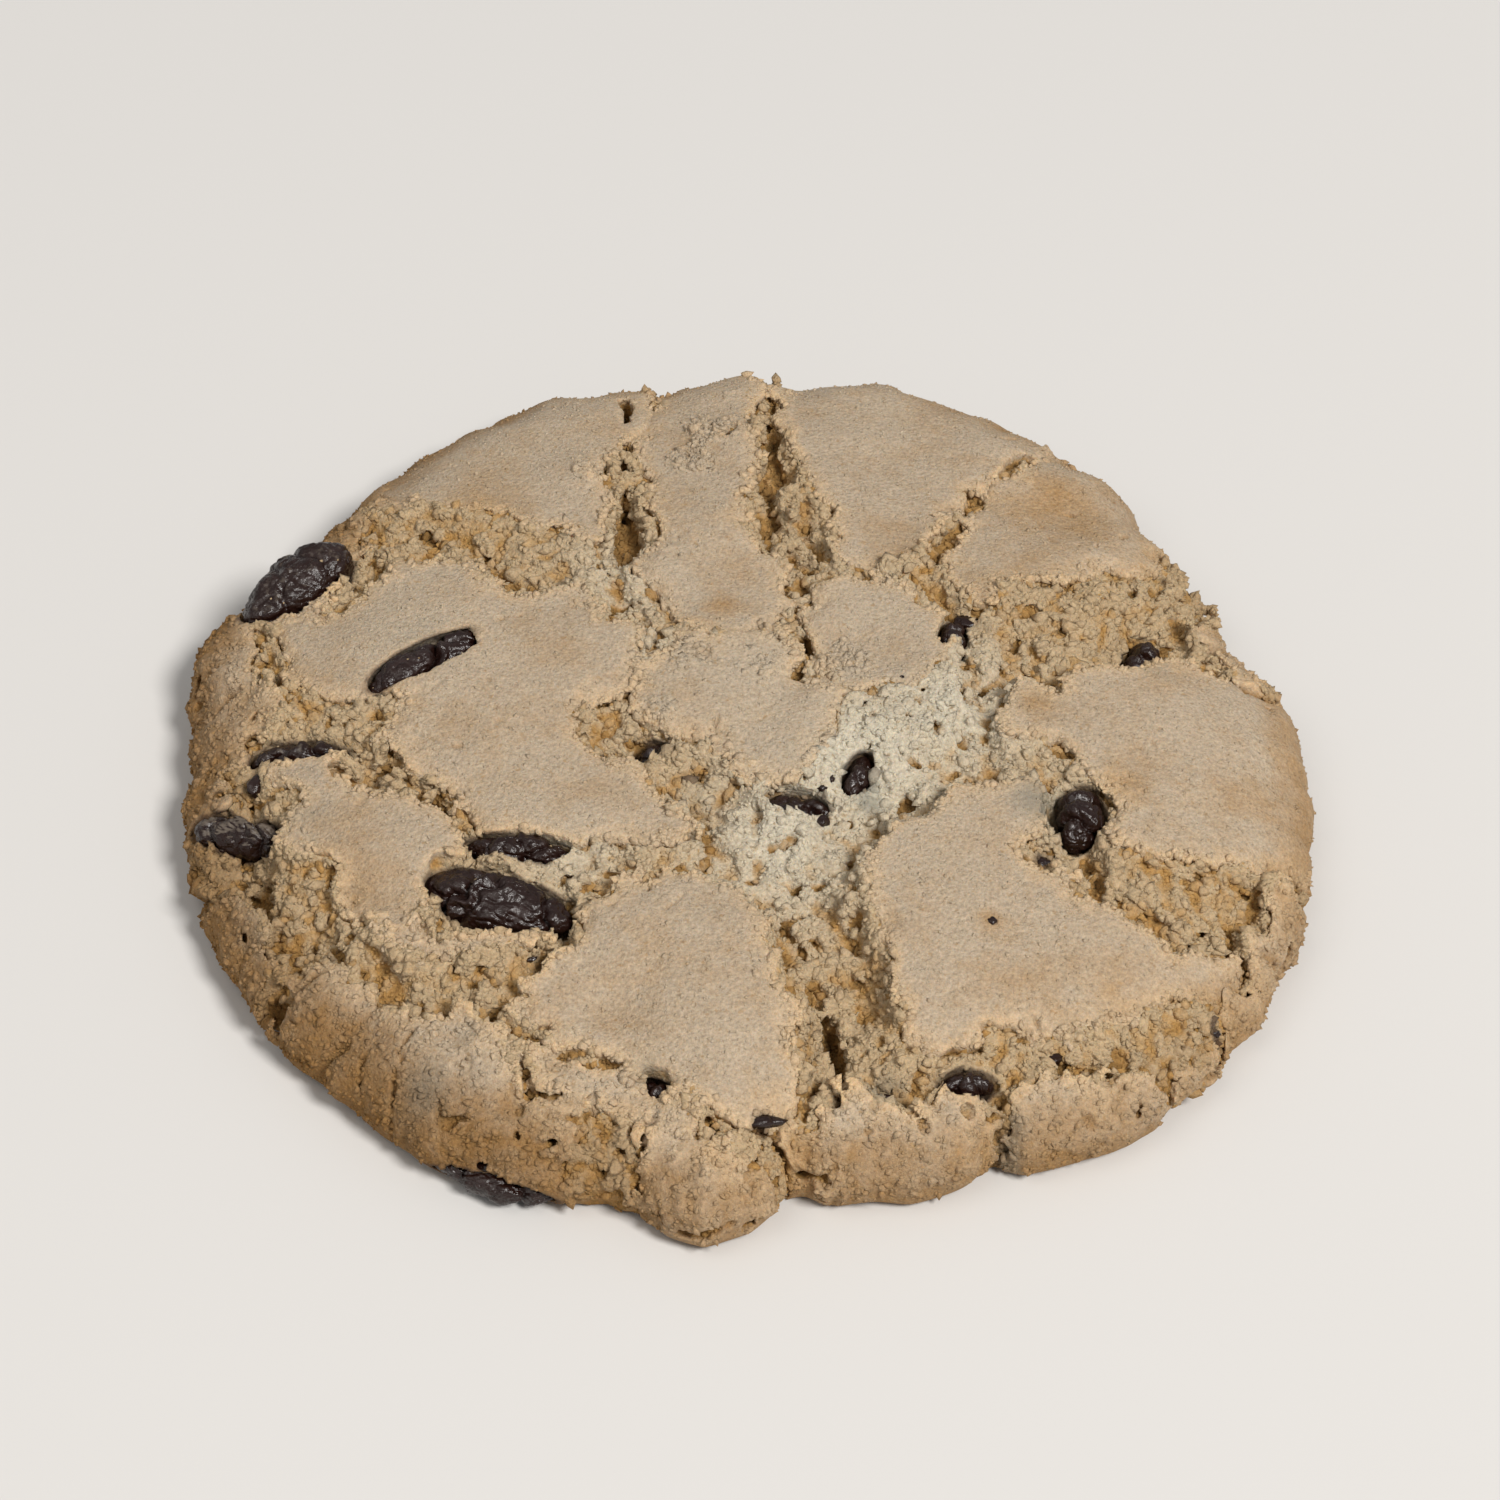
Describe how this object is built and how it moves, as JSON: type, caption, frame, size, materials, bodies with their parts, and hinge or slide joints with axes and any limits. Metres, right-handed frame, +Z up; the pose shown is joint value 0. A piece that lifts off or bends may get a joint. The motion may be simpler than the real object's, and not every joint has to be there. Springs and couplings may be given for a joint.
{
  "type": "chocolate chip cookie",
  "caption": "Round baked cookie with a cracked pale crust in plates, crumb in the cracks and dark chocolate chips.",
  "frame": {"origin": "centre of the cookie's bounds in plan, on its flat underside", "axes": "+Z up through the cookie, +X to the right and -Y to the front as pictured"},
  "size_m": [0.0972, 0.1024, 0.013],
  "materials": {
    "baked_dough": "dry, finely grained crust and crumb",
    "dark_chocolate": "satin, slightly wrinkled"
  },
  "bodies": {
    "root": {"dough": "baked_dough", "chip_back_left": "dark_chocolate", "chip_left_top": "dark_chocolate", "chip_left_crack": "dark_chocolate", "chip_left_rim": "dark_chocolate", "chip_pair_back": "dark_chocolate", "chip_pair_front": "dark_chocolate", "chip_centre_left": "dark_chocolate", "chip_centre": "dark_chocolate", "chip_centre_wedge": "dark_chocolate", "chip_right": "dark_chocolate", "chip_centre_right": "dark_chocolate", "chip_right_hole": "dark_chocolate", "chip_front_crack": "dark_chocolate", "chip_front_right": "dark_chocolate", "chip_base_left": "dark_chocolate"}
  },
  "joints": []
}
